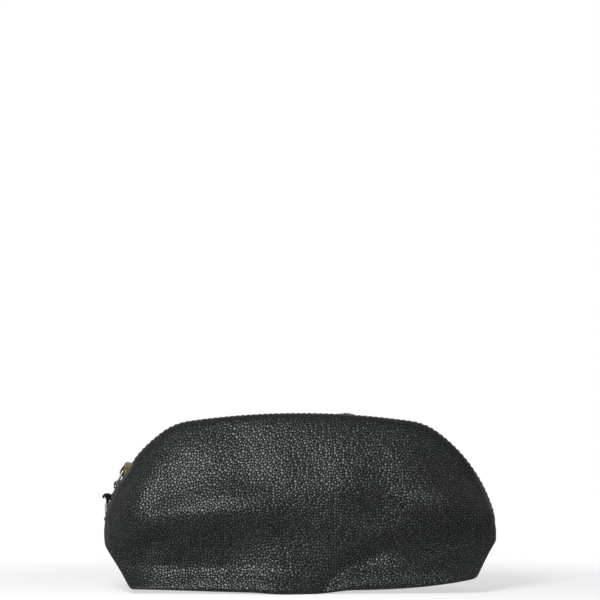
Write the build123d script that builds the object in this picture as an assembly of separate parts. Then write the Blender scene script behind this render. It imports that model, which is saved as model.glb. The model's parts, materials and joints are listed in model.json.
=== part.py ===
from build123d import *
import math
import os

# A zippered makeup bag of pebbled leather with boxed lower corners.
# Millimetres. X runs along the bag, -Y is its front, +Z is up, and the origin is the middle
# of the base. "Lean" is the angle of the rim's outward direction from straight up, in
# degrees, from -90 at the left end to +90 at the right. "Inset" is a distance inside the outline.

# ---------------------------------------------------------------- driving dimensions
HALF_WIDTH = 124.5          # to the leather at the zipper's ends
HEIGHT = 112.0
HALF_DEPTH = 33.0           # at the base and over most of the face
BASE_HALF_LENGTH = 109.5
END_Z = 36.5                # where the rim's curve springs from the upright side
END_RADIUS = 35.0           # the rim's four arcs, from its end to its top
SIDE_RADIUS = 96.0
SHOULDER_RADIUS = 36.0
SIDE_LEAN = 77.0            # lean where the end arc meets the side arc
SHOULDER_LEAN = 36.0        # lean where the side arc meets the shoulder arc
CORNER_HEIGHT = 28.0        # where the slanting end wall meets the upright side
ROOF_LENGTH = 22.0          # how quickly the panels swell away from the rim
RIM_HALF_DEPTH = 12.0       # leather at the rim, from the middle plane

LEATHER = 1.2
LINING = 0.4
LINING_FACE_INSET = 1.8
LINING_WALL_INSET = 2.4
LINING_WALL_DROP = 1.4      # its end walls stop this far below the zipper's ends
PART_GAP = 0.3              # between the opening panel and what stays
FOLD_HALF_GAP = 5.5         # from the middle plane to each leather edge along the zipper
ZIP_END_Z = 44.0            # height of the zipper's ends

TAPE_INSET = 3.0            # the tape's middle, below the leather's outer face
TAPE_HALF_THICKNESS = 0.3
TAPE_OUTER = 10.5           # the tape's sewn edge, from the middle plane
TAPE_INNER = 1.0            # its toothed edge where the rows are meshed
ROW_SHIFT = 1.6             # how far each row stands back where they are parted
TOOTH_LENGTH = 1.2
TOOTH_HALF_HEIGHT = 1.2
TOOTH_HEAD = 0.9            # past the middle plane when meshed
TOOTH_TAIL = 2.5
TOOTH_PITCH = 2.8

SLIDER_LEAN = -56.2         # where the slider parks
SLIDER_LENGTH = 11.5
SLIDER_HALF_WIDTH = 5.1
PLATE_LOW = 1.6
PLATE_HIGH = 2.6
FLANGE_WIDTH = 0.8
FLANGE_LOW = 0.8
DIVIDER_HALF_WIDTH = 0.5
CROWN_HALF_LENGTH = 5.0
CROWN_HALF_WIDTH = 1.7
CROWN_HEIGHT = 3.6
CROWN_WALL = 1.1
CROWN_CORNER = 1.7
STOP_LENGTH = 3.0
STOP_GAP = 0.3
STOP_HEIGHT = 2.4

LINK_WIRE = 0.65            # radius
LINK_HALF_WIDTH = 2.85      # to the wire's middle
LINK_CORNER = 0.9
LINK_PIVOT_ALONG = -1.5     # in the slider's own directions
LINK_PIVOT_OUT = 4.3
STRAP_PIVOT = (-116.0, 67.3)
CLIP_RADIUS = 1.95          # outside, round the link's bar
CLIP_METAL = 0.6
CLIP_LENGTH = 3.3
CLIP_GRIP = 0.8             # how much of its end holds the strap
CLIP_HALF_WIDTH = 1.8
STRAP_LINE = [(-116.4, 65.95), (-117.05, 63.7), (-118.3, 61.3), (-120.4, 59.0)]
STRAP_THICKNESS = 1.0
STRAP_HALF_WIDTH = 1.7
KNOT_MIDDLE = (-121.6, 58.2)
KNOT_SIZE = (5.4, 4.6, 5.6)
TIP_MIDDLE_X = -123.2
TIP_SIZE = (2.4, 5.0, 9.4)
TIP_LOW_Z = 47.0

STITCH_PITCH = 3.5
STITCH_LENGTH = 2.4
STITCH_WIDTH = 0.5
STITCH_FROM_MIDDLE = 8.2

# ---------------------------------------------------------------- the outline seen from the front
def next_middle(middle, radius, next_radius, lean):
    """The middle of the arc that goes on smoothly from another one at this lean."""
    angle = math.radians(lean)
    back = radius - next_radius
    return middle[0] + back * math.sin(angle), middle[1] + back * math.cos(angle)


END_MIDDLE = (HALF_WIDTH - END_RADIUS, END_Z)
SIDE_MIDDLE = next_middle(END_MIDDLE, END_RADIUS, SIDE_RADIUS, SIDE_LEAN)
SHOULDER_MIDDLE = next_middle(SIDE_MIDDLE, SIDE_RADIUS, SHOULDER_RADIUS, SHOULDER_LEAN)
rise = HEIGHT - SHOULDER_MIDDLE[1]
TOP_RADIUS = (SHOULDER_MIDDLE[0]**2 + rise**2 - SHOULDER_RADIUS**2) / (2 * (rise - SHOULDER_RADIUS))
TOP_MIDDLE = (0, HEIGHT - TOP_RADIUS)
TOP_LEAN = math.degrees(math.atan2(SHOULDER_MIDDLE[0], SHOULDER_MIDDLE[1] - TOP_MIDDLE[1]))
RIGHT_ARCS = [
    (0, TOP_LEAN, TOP_MIDDLE, TOP_RADIUS),
    (TOP_LEAN, SHOULDER_LEAN, SHOULDER_MIDDLE, SHOULDER_RADIUS),
    (SHOULDER_LEAN, SIDE_LEAN, SIDE_MIDDLE, SIDE_RADIUS),
    (SIDE_LEAN, 90, END_MIDDLE, END_RADIUS),
]
LEFT_ARCS = [(-high, -low, (-middle[0], middle[1]), radius) for low, high, middle, radius in RIGHT_ARCS]
ALL_ARCS = LEFT_ARCS[::-1] + RIGHT_ARCS
END_SLOPE = (HALF_WIDTH - BASE_HALF_LENGTH) / CORNER_HEIGHT
DEEPEST = HALF_WIDTH - BASE_HALF_LENGTH / 2
FRONT = Plane((0, 0, 0), x_dir=(1, 0, 0), z_dir=(0, -1, 0))


def rim_point(lean, inset):
    """The point of the rim with this lean, as x and z."""
    low, high, middle, radius = next(arc for arc in RIGHT_ARCS if abs(lean) <= arc[1])
    angle = math.radians(lean)
    x = math.copysign(middle[0], lean) + (radius - inset) * math.sin(angle)
    return x, middle[1] + (radius - inset) * math.cos(angle)


def rim_plane(lean, inset=TAPE_INSET):
    """Plane on the rim: its x follows the rim to the right, its y is +Y and its z is outward."""
    x, z = rim_point(lean, inset)
    angle = math.radians(lean)
    return Plane(
        (x, 0, z),
        x_dir=(math.cos(angle), 0, -math.sin(angle)),
        z_dir=(math.sin(angle), 0, math.cos(angle)),
    )


def rim_arcs(inset, lean_from, lean_to):
    """The rim between two leans as arcs, from left to right."""
    arcs = []
    for low, high, middle, radius in ALL_ARCS:
        start = max(low, lean_from)
        stop = min(high, lean_to)
        if stop > start:
            arcs.append(CenterArc(middle, radius - inset, 90 - start, start - stop))
    return arcs


def prism(face, y_low, y_high):
    """An outline drawn in x and z, made solid from y_low to y_high."""
    return extrude(Pos(0, y_low, 0) * (FRONT * face), amount=y_high - y_low, dir=(0, 1, 0))


def ribbon(inset_out, inset_in, lean_from, lean_to, y_low, y_high):
    """A strip that follows the rim."""
    outer = rim_arcs(inset_out, lean_from, lean_to)
    inner = rim_arcs(inset_in, lean_from, lean_to)
    ends = [Line(outer[0] @ 0, inner[0] @ 0), Line(outer[-1] @ 1, inner[-1] @ 1)]
    return prism(make_face(outer + inner + ends), y_low, y_high)


def outline(inset):
    """The whole outline as a face in x and z."""
    side_x = HALF_WIDTH - inset
    wall_shift = inset * math.hypot(1, END_SLOPE)
    foot_x = BASE_HALF_LENGTH + inset * END_SLOPE - wall_shift
    corner_z = (side_x - BASE_HALF_LENGTH + wall_shift) / END_SLOPE
    below = Polyline(
        (-side_x, END_Z),
        (-side_x, corner_z),
        (-foot_x, inset),
        (foot_x, inset),
        (side_x, corner_z),
        (side_x, END_Z),
    )
    return make_face(rim_arcs(inset, -90, 90) + below.edges())


# ---------------------------------------------------------------- the swelling of the panels
def to_outline(x, z):
    """Distance inside the outline at x and z, at the rim or at the side below it."""
    if z < END_Z:
        return min(HALF_WIDTH, BASE_HALF_LENGTH + z * END_SLOPE) - abs(x)
    distances = [DEEPEST]
    for low, high, middle, radius in RIGHT_ARCS:
        across = abs(x) - middle[0]
        up = z - middle[1]
        if low <= math.degrees(math.atan2(across, up)) <= high:
            distances.append(radius - math.hypot(across, up))
    return min(distances)


def half_depth(x, z):
    """Distance of the leather's face from the middle plane at x and z."""
    rise = min(max(z / END_Z, 0), 1)
    edge = HALF_DEPTH - (HALF_DEPTH - RIM_HALF_DEPTH) * rise * (2 - rise)
    full = 1 - math.exp(-DEEPEST / ROOF_LENGTH)
    share = (1 - math.exp(-to_outline(x, z) / ROOF_LENGTH)) / full
    return edge + (HALF_DEPTH - edge) * min(share, 1)


def panel_face(inset, columns=30, rows=15):
    """The front panel's face, moved in by an inset, a little larger than the outline."""
    points = []
    for row in range(rows + 1):
        z = -2 + (HEIGHT + 3) * row / rows
        xs = [(HALF_WIDTH + 2) * (2 * column / columns - 1) for column in range(columns + 1)]
        points.append([(x, inset - half_depth(x, z), z) for x in xs])
    return Face.make_surface_from_array_of_points(points, tol=0.05)


def behind_face(inset):
    """All the room from the front panel's face, moved in by an inset, to past the middle plane."""
    return extrude(panel_face(inset), amount=2 * HALF_DEPTH, dir=(0, 1, 0))


def slab(inset, thickness):
    """The front panel's skin, before it is cut to its outline."""
    return extrude(panel_face(inset), amount=thickness, dir=(0, 1, 0))


def layer(face_inset, wall_inset, thickness):
    """Face and surrounding walls of one half of the bag, front side, as two overlapping solids."""
    face = slab(face_inset, thickness) & prism(outline(wall_inset), -HALF_DEPTH - 1, 0)
    ring = prism(outline(wall_inset), -HALF_DEPTH - 1, 0)
    ring -= prism(outline(wall_inset + thickness), -HALF_DEPTH - 2, 1)
    return face, ring


def block(x_low, x_high, y_low, y_high, z_low, z_high):
    """A plain box between two corners."""
    box = Box(x_high - x_low, y_high - y_low, z_high - z_low, align=(Align.MIN, Align.MIN, Align.MIN))
    return Pos(x_low, y_low, z_low) * box


def band_of_height(z_low, z_high):
    """All of the bag's room between two heights."""
    return block(-HALF_WIDTH - 5, HALF_WIDTH + 5, -HALF_DEPTH - 5, HALF_DEPTH + 5, z_low, z_high)


def mirrored(solid):
    """The same piece on the other side of the middle plane."""
    return mirror(solid, about=Plane.XZ)


END_LEAN = math.degrees(math.acos((ZIP_END_Z - END_Z) / END_RADIUS))
SPLIT_LEAN = SLIDER_LEAN + 4.5      # just above the parked slider
ABOVE_SPLIT = ZIP_END_Z + PART_GAP
TOP = HEIGHT + 5

# ---------------------------------------------------------------- leather
# The front gives way at the height of the zipper's ends: all above leans out as the mouth opens.
leather_face, leather_ring = layer(0, 0, LEATHER)
zip_slot = ribbon(-2, 2 * LEATHER, -END_LEAN, END_LEAN, -FOLD_HALF_GAP, FOLD_HALF_GAP)
leather = leather_face + ((leather_ring & behind_face(LEATHER / 2)) - zip_slot)

front_panel = leather & band_of_height(ABOVE_SPLIT, TOP)
front_panel_foot = leather & band_of_height(-1, ZIP_END_Z)
back_panel = mirrored(leather)

# ---------------------------------------------------------------- lining
lining_face, lining_ring = layer(LINING_FACE_INSET, LINING_WALL_INSET, LINING)
lining_walls = lining_ring & band_of_height(0, ZIP_END_Z - LINING_WALL_DROP)
lining = lining_face + (lining_walls & behind_face(LINING_FACE_INSET + LINING / 2))

front_lining = lining & band_of_height(ABOVE_SPLIT, TOP)
front_lining_foot = lining & band_of_height(0, ZIP_END_Z)
back_lining = mirrored(lining)

# ---------------------------------------------------------------- zipper tapes
tape_out = TAPE_INSET - TAPE_HALF_THICKNESS
tape_in = TAPE_INSET + TAPE_HALF_THICKNESS
parted = TAPE_INNER + ROW_SHIFT
split_gap = math.degrees(PART_GAP / END_RADIUS)


def tape(lean_from, lean_to, inner):
    """A stretch of the front tape, from its sewn edge to its toothed edge."""
    return ribbon(tape_out, tape_in, lean_from, lean_to, -TAPE_OUTER, -inner)


front_tape = tape(SPLIT_LEAN + split_gap, END_LEAN - split_gap, parted)
front_tape_end = tape(-END_LEAN, SLIDER_LEAN, TAPE_INNER) + tape(SLIDER_LEAN, SPLIT_LEAN, parted)
back_tape = mirrored(tape(-END_LEAN, SLIDER_LEAN, TAPE_INNER) + tape(SLIDER_LEAN, END_LEAN, parted))

# ---------------------------------------------------------------- teeth
def lean_at(run):
    """The lean at a distance along the tape's line from the rim's left end."""
    for low, high, middle, radius in ALL_ARCS:
        turn = math.degrees(run / (radius - TAPE_INSET))
        if turn <= high - low:
            break
        run -= (radius - TAPE_INSET) * math.radians(high - low)
    return low + turn


def run_at(lean):
    """The distance along the tape's line from the rim's left end to this lean."""
    turns = [(min(max(lean, low), high) - low, radius) for low, high, middle, radius in ALL_ARCS]
    return sum(math.radians(turn) * (radius - TAPE_INSET) for turn, radius in turns)


def tooth(shift):
    """A front tooth in its own plane, clamped over the tape's edge, its head towards +Y."""
    body = Box(TOOTH_LENGTH, TOOTH_HEAD + TOOTH_TAIL, 2 * TOOTH_HALF_HEIGHT)
    body = Pos(0, (TOOTH_HEAD - TOOTH_TAIL) / 2 - shift, 0) * body
    clamp = Box(2 * TOOTH_LENGTH, 2 * TOOTH_TAIL, 2 * TAPE_HALF_THICKNESS + 0.06)
    return body - Pos(0, -TOOTH_TAIL - TAPE_INNER - shift, 0) * clamp


slider_run = run_at(SLIDER_LEAN)
first_run = slider_run - SLIDER_LENGTH / 2 + TOOTH_LENGTH
last_run = run_at(END_LEAN) - 2 * STOP_LENGTH


def row(first, lean_low, lean_high):
    """The teeth of one row, drawn on the front tape, whose leans lie between two values."""
    teeth = []
    for i in range(int((last_run - first) / TOOTH_PITCH) + 1):
        run = first + i * TOOTH_PITCH
        if lean_low <= lean_at(run) < lean_high:
            shift = ROW_SHIFT if run > slider_run else 0
            teeth.append(rim_plane(lean_at(run)) * tooth(shift))
    return teeth


front_teeth = row(first_run, SPLIT_LEAN + split_gap, END_LEAN)
front_teeth_end = row(first_run, -90, SPLIT_LEAN - split_gap)
back_teeth = [mirrored(one) for one in row(first_run + TOOTH_PITCH / 2, -90, END_LEAN)]


# ---------------------------------------------------------------- stops
def top_stop():
    """The stop past the last tooth of the front row."""
    clip = Box(STOP_LENGTH, 2.6, 2.2) - Pos(0, -0.8, 0) * Box(2 * STOP_LENGTH, 2.6, 0.66)
    return rim_plane(lean_at(last_run + STOP_LENGTH)) * (Pos(0, -parted - 0.5, 0) * clip)


bottom_stop_run = slider_run - SLIDER_LENGTH / 2 - STOP_GAP - STOP_LENGTH / 2
clip_slots = Pos(0, -3, 0) * Box(9, 4, 0.66) + Pos(0, 3, 0) * Box(9, 4, 0.66)
bottom_stop = rim_plane(lean_at(bottom_stop_run)) * (Box(STOP_LENGTH, 6, STOP_HEIGHT) - clip_slots)
front_top_stop = top_stop()
back_top_stop = mirrored(top_stop())


# ---------------------------------------------------------------- topstitching
def stitches():
    """The row of stitches on the front panel beside the zipper."""
    stitch = Box(STITCH_LENGTH, STITCH_WIDTH, STITCH_WIDTH - 0.1)
    row_length = last_run - run_at(-END_LEAN)
    count = int(row_length / STITCH_PITCH)
    runs = [run_at(-END_LEAN) + (i + 0.7) * STITCH_PITCH for i in range(count)]
    return [
        rim_plane(lean_at(run), -STITCH_WIDTH / 2 - 0.1) * (Pos(0, -STITCH_FROM_MIDDLE, 0) * stitch)
        for run in runs
    ]


front_topstitch = stitches()
back_topstitch = [mirrored(stitch) for stitch in stitches()]

# ---------------------------------------------------------------- slider, in its own directions
slider_plane = rim_plane(SLIDER_LEAN)


def slider_plate(side):
    """One plate with its two flanges and rounded ends, above the tape (+1) or below it (-1)."""
    shape = RectangleRounded(SLIDER_LENGTH, 2 * SLIDER_HALF_WIDTH, 2.2)
    plate = extrude(Pos(0, 0, PLATE_LOW) * shape, amount=PLATE_HIGH - PLATE_LOW)
    plate = chamfer(plate.edges().group_by(Axis.Z)[-1], 0.35)
    hollow = Rectangle(2 * SLIDER_LENGTH, 2 * (SLIDER_HALF_WIDTH - FLANGE_WIDTH))
    rails = extrude(Pos(0, 0, FLANGE_LOW) * (shape - hollow), amount=PLATE_LOW - FLANGE_LOW)
    whole = plate + rails
    return whole if side > 0 else mirror(whole, about=Plane.XY)


divider_outline = Polyline((2.2, 0), (3.4, DIVIDER_HALF_WIDTH), (5.6, DIVIDER_HALF_WIDTH * 0.6),
                           (5.6, -DIVIDER_HALF_WIDTH * 0.6), (3.4, -DIVIDER_HALF_WIDTH), (2.2, 0))
divider = extrude(Pos(0, 0, -PLATE_LOW) * make_face(divider_outline.edges()), amount=2 * PLATE_LOW)
lock_window = Pos(0.8, 0, 2.2) * Box(0.9, 1.4, 3)
slider_body = slider_plane * (slider_plate(1) + slider_plate(-1) + divider - lock_window)

crown_outer = Pos(0, PLATE_HIGH + CROWN_HEIGHT / 2) * RectangleRounded(
    2 * CROWN_HALF_LENGTH, CROWN_HEIGHT, CROWN_CORNER)
crown_foot = Pos(0, PLATE_HIGH + 0.9) * Rectangle(2 * CROWN_HALF_LENGTH, 1.8)
crown_gap = Pos(0, PLATE_HIGH + (CROWN_HEIGHT - CROWN_WALL) / 2) * Rectangle(
    2 * (CROWN_HALF_LENGTH - CROWN_WALL), CROWN_HEIGHT - CROWN_WALL)
crown_profile = crown_outer + crown_foot - crown_gap
crown = extrude(FRONT * crown_profile, amount=CROWN_HALF_WIDTH, both=True)
slider_crown = slider_plane * crown

leaf = Pos(0.3, 0, PLATE_HIGH + 0.2) * Box(4.6, 1.6, 0.3)
prong = Pos(0.8, 0, (TOOTH_HALF_HEIGHT + 0.1 + PLATE_HIGH + 0.35) / 2) * Box(
    0.6, 1.0, PLATE_HIGH + 0.25 - TOOTH_HALF_HEIGHT)
slider_lock = slider_plane * (leaf + prong)

# ---------------------------------------------------------------- pull
pivot = slider_plane.from_local_coords((LINK_PIVOT_ALONG, 0, LINK_PIVOT_OUT))
link_dx = STRAP_PIVOT[0] - pivot.X
link_dz = STRAP_PIVOT[1] - pivot.Z
link_length = math.hypot(link_dx, link_dz)
link_plane = Plane(
    (pivot.X + link_dx / 2, 0, pivot.Z + link_dz / 2),
    x_dir=(link_dx, 0, link_dz),
    z_dir=Vector(0, 1, 0).cross(Vector(link_dx, 0, link_dz)),
)
link_path = (link_plane * RectangleRounded(link_length, 2 * LINK_HALF_WIDTH, LINK_CORNER)).wire()
link_section = Plane(link_path @ 0, z_dir=link_path % 0) * Circle(LINK_WIRE)
pull_link = sweep(link_section, path=link_path)

strap_start = Vector(*STRAP_LINE[0]) - Vector(*STRAP_PIVOT)
clip_turn = math.degrees(math.atan2(strap_start.Y, strap_start.X))
strap_line = Polyline(*STRAP_LINE)


def clip_outline(radius, length, half_end):
    """A drop round the link's bar, drawn out to where the strap is clamped."""
    end = Line((length, -half_end), (length, half_end))
    return make_hull(Circle(radius).edges() + end.edges())


clip_profile = clip_outline(CLIP_RADIUS, CLIP_LENGTH, STRAP_THICKNESS / 2 + CLIP_METAL)
clip_profile -= clip_outline(CLIP_RADIUS - CLIP_METAL, CLIP_LENGTH - CLIP_GRIP, STRAP_THICKNESS / 2)
clip_profile = Pos(*STRAP_PIVOT) * Rot(0, 0, clip_turn) * clip_profile
strap_profile = trace(strap_line, STRAP_THICKNESS)
pull_clip = prism(clip_profile - strap_profile, -CLIP_HALF_WIDTH, CLIP_HALF_WIDTH)

strap = prism(strap_profile, -STRAP_HALF_WIDTH, STRAP_HALF_WIDTH)
knot = fillet(Box(*KNOT_SIZE).edges(), 1.2)
pull_strap = strap + Pos(KNOT_MIDDLE[0], 0, KNOT_MIDDLE[1]) * knot

tip_room = Pos(TIP_MIDDLE_X, 0, TIP_LOW_Z + TIP_SIZE[2] / 2)
pull_tip = tip_room * fillet(Box(*TIP_SIZE).edges().filter_by(Axis.Z), 0.8)
pull_strap -= tip_room * Box(*TIP_SIZE)

# ---------------------------------------------------------------- files
os.makedirs("parts", exist_ok=True)
nodes = {
    "back_panel": back_panel,
    "front_panel": front_panel,
    "front_panel_foot": front_panel_foot,
    "back_lining": back_lining,
    "front_lining": front_lining,
    "front_lining_foot": front_lining_foot,
    "back_tape": back_tape,
    "front_tape": front_tape,
    "front_tape_end": front_tape_end,
    "back_teeth": back_teeth,
    "front_teeth": front_teeth,
    "front_teeth_end": front_teeth_end,
    "bottom_stop": bottom_stop,
    "front_top_stop": front_top_stop,
    "back_top_stop": back_top_stop,
    "front_topstitch": front_topstitch,
    "back_topstitch": back_topstitch,
    "slider_body": slider_body,
    "slider_crown": slider_crown,
    "slider_lock": slider_lock,
    "pull_link": pull_link,
    "pull_clip": pull_clip,
    "pull_strap": pull_strap,
    "pull_tip": pull_tip,
}
for name, shape in nodes.items():
    solids = shape if isinstance(shape, list) else shape.solids()
    piece = Compound(label=name, children=list(solids))
    export_step(piece, f"parts/{name}.step")

print("slider turns about", -SIDE_MIDDLE[0], SIDE_MIDDLE[1])
print("link turns about", pivot.X, pivot.Z, "and is", link_length, "long")
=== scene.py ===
import json
import math

import bmesh
import bpy
import numpy as np
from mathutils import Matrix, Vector
from mathutils.geometry import delaunay_2d_cdt


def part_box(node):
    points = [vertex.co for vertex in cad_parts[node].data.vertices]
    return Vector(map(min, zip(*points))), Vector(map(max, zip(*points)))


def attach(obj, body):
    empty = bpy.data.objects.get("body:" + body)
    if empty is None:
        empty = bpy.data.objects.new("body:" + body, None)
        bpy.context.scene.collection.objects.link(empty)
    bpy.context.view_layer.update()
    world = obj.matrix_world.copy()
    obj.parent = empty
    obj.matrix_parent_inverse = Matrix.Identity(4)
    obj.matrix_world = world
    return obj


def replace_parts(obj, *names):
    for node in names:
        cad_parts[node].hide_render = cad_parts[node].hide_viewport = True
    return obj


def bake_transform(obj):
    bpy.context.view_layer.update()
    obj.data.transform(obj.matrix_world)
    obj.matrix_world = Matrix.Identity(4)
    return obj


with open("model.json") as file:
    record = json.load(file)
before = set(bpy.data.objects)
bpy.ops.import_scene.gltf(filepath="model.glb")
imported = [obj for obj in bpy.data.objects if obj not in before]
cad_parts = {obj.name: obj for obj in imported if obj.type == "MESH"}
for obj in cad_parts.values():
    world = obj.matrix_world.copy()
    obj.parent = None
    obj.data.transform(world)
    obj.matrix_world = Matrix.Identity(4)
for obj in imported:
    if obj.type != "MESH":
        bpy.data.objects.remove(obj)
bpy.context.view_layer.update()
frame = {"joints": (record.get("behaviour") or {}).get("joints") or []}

# A zippered makeup bag of black pebbled leather, dressed over its CAD frame.
# Shapes are worked out in millimetres, in the frame's axes: X along the bag, -Y its front, +Z up.
# "Lean" is the angle of the rim's outward direction from straight up, negative to the left, and
# "out" is a distance along that outward direction from the outline.

MM = 0.001

# ---- sizes from the frame
PANEL_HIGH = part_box("front_panel")[1]
FOOT_LOW, FOOT_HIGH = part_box("front_panel_foot")
JOINTS = {joint["name"]: joint for joint in frame["joints"]}
HALF_WIDTH = PANEL_HIGH.x / MM
HEIGHT = PANEL_HIGH.z / MM
HALF_DEPTH = -FOOT_LOW.y / MM
ZIP_END_Z = FOOT_HIGH.z / MM
SIDE_MIDDLE = (-JOINTS["zipper_slide"]["pos_m"][0] / MM, JOINTS["zipper_slide"]["pos_m"][2] / MM)
LINK_PIVOT = np.array(JOINTS["pull_swing"]["pos_m"])[[0, 2]] / MM
STRAP_PIVOT = np.array(JOINTS["strap_swing"]["pos_m"])[[0, 2]] / MM

# ---- the rim's four arcs on each side
END_Z = 36.5
END_RADIUS = 35.0
SIDE_RADIUS = 96.0
SHOULDER_RADIUS = 36.0
SIDE_LEAN = 77.0
SHOULDER_LEAN = 36.0
BASE_HALF_LENGTH = 109.5
CORNER_HEIGHT = 28.0
RIM_HALF_DEPTH = 12.0
ROOF_LENGTH = 30.0  # how far in from the rim the faces reach most of their depth
END_SLOPE = (HALF_WIDTH - BASE_HALF_LENGTH) / CORNER_HEIGHT
DEEPEST = HALF_WIDTH - BASE_HALF_LENGTH / 2  # distances inside the outline stop growing here

# ---- the zipper
TAPE_INSET = 3.0
TAPE_HALF_THICKNESS = 0.3
TAPE_OUTER = 10.5
TAPE_SWELL = 2.7
TAPE_SWELL_X = 30.0
TAPE_WAVE = 0.25
TAPE_INNER = 1.0
ROW_SHIFT = 1.6
TOOTH_PITCH = 2.8
SLIDER_LEAN = -56.2
SLIDER_LENGTH = 11.5
FIRST_TOOTH_IN = 1.2
STOP_LENGTH = 3.0
FOLD_HALF_GAP = 5.5
STITCH_PITCH = 3.5
STITCH_LENGTH = 2.4
STITCH_FROM_MIDDLE = 8.2
THREAD_RADIUS = 0.26
TOOTH_TILT = 0.05


END_MIDDLE = (HALF_WIDTH - END_RADIUS, END_Z)
SHOULDER_BACK = SIDE_RADIUS - SHOULDER_RADIUS
SHOULDER_MIDDLE = (SIDE_MIDDLE[0] + SHOULDER_BACK * math.sin(math.radians(SHOULDER_LEAN)),
                   SIDE_MIDDLE[1] + SHOULDER_BACK * math.cos(math.radians(SHOULDER_LEAN)))
TOP_RISE = HEIGHT - SHOULDER_MIDDLE[1]
TOP_RADIUS = (SHOULDER_MIDDLE[0]**2 + TOP_RISE**2 - SHOULDER_RADIUS**2) / (2 * (TOP_RISE - SHOULDER_RADIUS))
TOP_MIDDLE = (0, HEIGHT - TOP_RADIUS)
TOP_LEAN = math.degrees(math.atan2(SHOULDER_MIDDLE[0], SHOULDER_MIDDLE[1] - TOP_MIDDLE[1]))
RIGHT_ARCS = [
    (0, TOP_LEAN, TOP_MIDDLE, TOP_RADIUS),
    (TOP_LEAN, SHOULDER_LEAN, SHOULDER_MIDDLE, SHOULDER_RADIUS),
    (SHOULDER_LEAN, SIDE_LEAN, SIDE_MIDDLE, SIDE_RADIUS),
    (SIDE_LEAN, 90, END_MIDDLE, END_RADIUS),
]
END_LEAN = math.degrees(math.acos((ZIP_END_Z - END_Z) / END_RADIUS))


def rim_points(leans, out=0.0):
    """Points of the rim at these leans, as an array of x and z."""
    leans = np.asarray(leans, float)
    angle = np.radians(np.abs(leans))
    x, z = np.zeros(leans.shape), np.zeros(leans.shape)
    for low, high, middle, radius in RIGHT_ARCS:
        here = (np.abs(leans) >= low) & (np.abs(leans) <= high)
        x[here] = (middle[0] + (radius + out) * np.sin(angle))[here]
        z[here] = (middle[1] + (radius + out) * np.cos(angle))[here]
    return np.stack([np.copysign(x, leans), z], -1)


LEANS = np.linspace(-90, 90, 3601)
RUN_STEPS = np.linalg.norm(np.diff(rim_points(LEANS, -TAPE_INSET), axis=0), axis=1)
RUNS = np.concatenate([[0], np.cumsum(RUN_STEPS)])


def lean_at(run):
    """The lean at a distance along the tape's line from the rim's left end."""
    return np.interp(run, RUNS, LEANS)


def run_at(lean):
    """The distance along the tape's line from the rim's left end to this lean."""
    return np.interp(lean, LEANS, RUNS)


SLIDER_RUN = run_at(SLIDER_LEAN)
FIRST_RUN = SLIDER_RUN - SLIDER_LENGTH / 2 + FIRST_TOOTH_IN
LAST_RUN = run_at(END_LEAN) - 2 * STOP_LENGTH


def smooth(low, high, value):
    """0 below low, 1 above high, and a smooth step between them."""
    t = np.clip((np.asarray(value, float) - low) / (high - low), 0, 1)
    return t * t * (3 - 2 * t)


def hump(value, middle, width):
    """A smooth hump of height 1."""
    return np.exp(-((np.asarray(value, float) - middle) / width)**2)


# ---- meshes
def add_object(name, data):
    """An object in the scene for a mesh, a lamp or a camera."""
    made = bpy.data.objects.new(name, data)
    bpy.context.scene.collection.objects.link(made)
    return made


def mesh_object(name, points, faces, material):
    """An object with a mesh of points in millimetres."""
    mesh = bpy.data.meshes.new(name)
    mesh.from_pydata((np.asarray(points) * MM).tolist(), [], faces)
    mesh.update()
    mesh.materials.append(material)
    return add_object(name, mesh)


def make_piece(name, points, faces, material):
    """A smooth piece of the object."""
    piece = mesh_object(name, points, faces, material)
    piece.data.polygons.foreach_set("use_smooth", [True] * len(faces))
    return piece


def closed_piece(name, points, faces, material, slot):
    """A smooth piece that is closed, with all its faces turned outward."""
    piece = make_piece(name, points, faces, material)
    work = bmesh.new()
    work.from_mesh(piece.data)
    bmesh.ops.recalc_face_normals(work, faces=work.faces)
    work.to_mesh(piece.data)
    work.free()
    return piece


def thicken(piece, thickness):
    """Gives a sheet its thickness, inwards."""
    thick = piece.modifiers.new("thickness", "SOLIDIFY")
    thick.thickness = thickness * MM
    thick.offset = -1


def paint(piece, name, values):
    """A number at each point of a piece, for its material to read."""
    attribute = piece.data.attributes.new(name, "FLOAT", "POINT")
    attribute.data.foreach_set("value", np.asarray(values, np.float32))


def ring_faces(rings, count, closed=False):
    """The four-sided faces between rings of points, each with this count of them."""
    faces = []
    for ring in range(rings if closed else rings - 1):
        a, b = ring * count, (ring + 1) % rings * count
        faces += [(a + c, b + c, b + (c + 1) % count, a + (c + 1) % count) for c in range(count)]
    return faces


def tube_faces(rings, count):
    """The faces of a tube made of rings of points, with its two ends."""
    return ring_faces(rings, count) + [tuple(range(count)), tuple(range((rings - 1) * count, rings * count))]


def directions(path, closed=False):
    """The unit direction of a path at each of its points."""
    before = np.roll(path, 1, axis=0) if closed else np.vstack([path[:1], path[:-1]])
    after = np.roll(path, -1, axis=0) if closed else np.vstack([path[1:], path[-1:]])
    along = after - before
    return along / np.linalg.norm(along, axis=1)[:, None]


def crossways(along):
    """The directions at a right angle to these, to their left."""
    return np.stack([-along[:, 1], along[:, 0]], -1)


def circle(turns):
    """Points on the unit circle at these angles."""
    return np.stack([np.cos(turns), np.sin(turns)], -1)


def squarer(value, power):
    """A sine or cosine drawn out towards 1 and -1, which gives a round section flatter sides."""
    return np.sign(value) * np.abs(value)**power


def joined(parts):
    """Several (points, faces) as one."""
    points, faces, count = [], [], 0
    for part_points, part_faces in parts:
        points.append(np.asarray(part_points, float))
        faces += [tuple(count + i for i in face) for face in part_faces]
        count += len(part_points)
    return np.vstack(points), faces


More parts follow.
